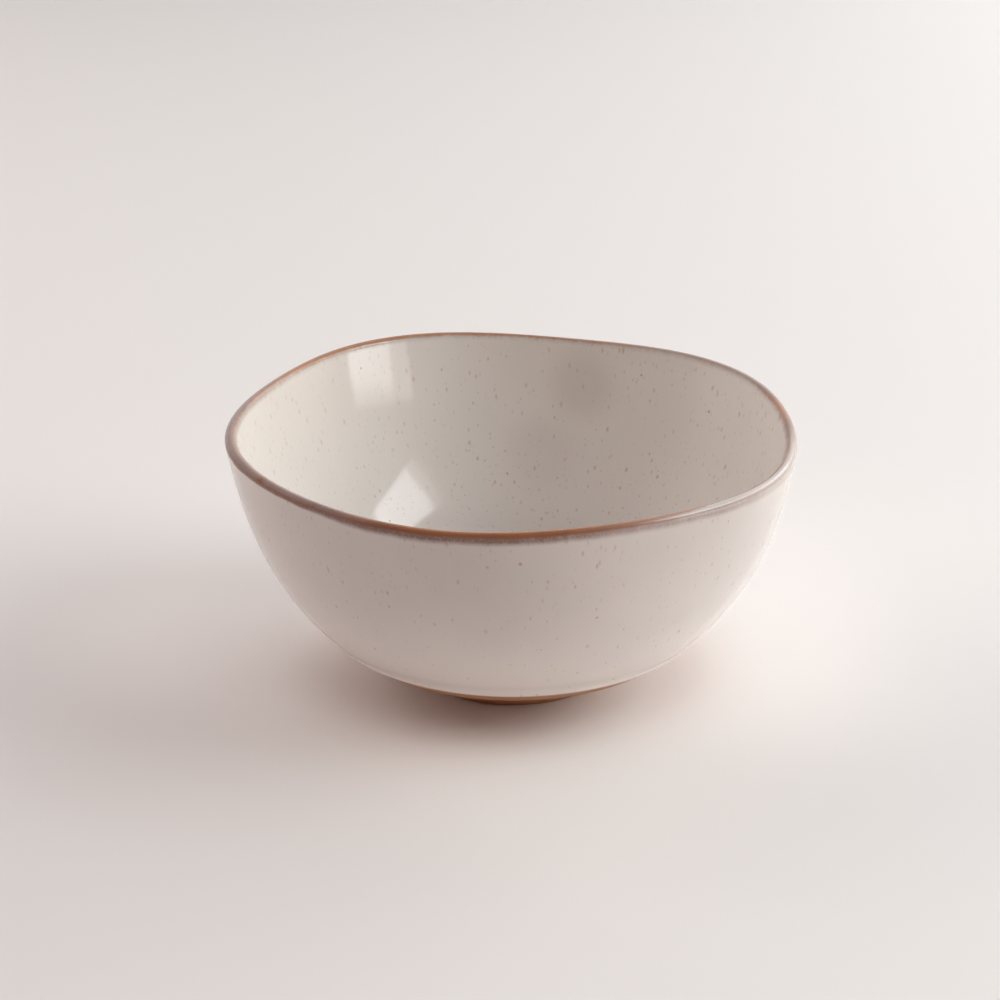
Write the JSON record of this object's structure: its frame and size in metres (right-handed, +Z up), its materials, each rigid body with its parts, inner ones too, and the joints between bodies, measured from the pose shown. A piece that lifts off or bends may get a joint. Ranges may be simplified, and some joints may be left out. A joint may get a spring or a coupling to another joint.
{
  "type": "cereal bowl",
  "caption": "Round stoneware cereal bowl with a softly uneven rim, a pale speckled glaze with a brown band over the lip, and a bare clay foot ring to stand on.",
  "frame": {"origin": "centre of the foot ring's resting face, on the axis the bowl was turned about", "axes": "+Z up out of the bowl's mouth; -Y is the side nearest the camera in the picture and +X is its right-hand side"},
  "size_m": [0.1482, 0.1501, 0.0707],
  "materials": {
    "bare_clay": "unglazed fired clay, matt, red-brown",
    "foot_clay": "unglazed fired clay, turned smooth, red-brown",
    "pale_glaze": "glossy warm white glaze with tan and brown iron speckles",
    "brown_glaze": "glossy iron-brown glaze, thin over the lip"
  },
  "bodies": {
    "root": {"clay_body": "bare_clay", "foot_ring": "foot_clay", "inner_glaze": "pale_glaze", "outer_glaze": "pale_glaze", "rim_glaze": "brown_glaze"}
  },
  "joints": []
}
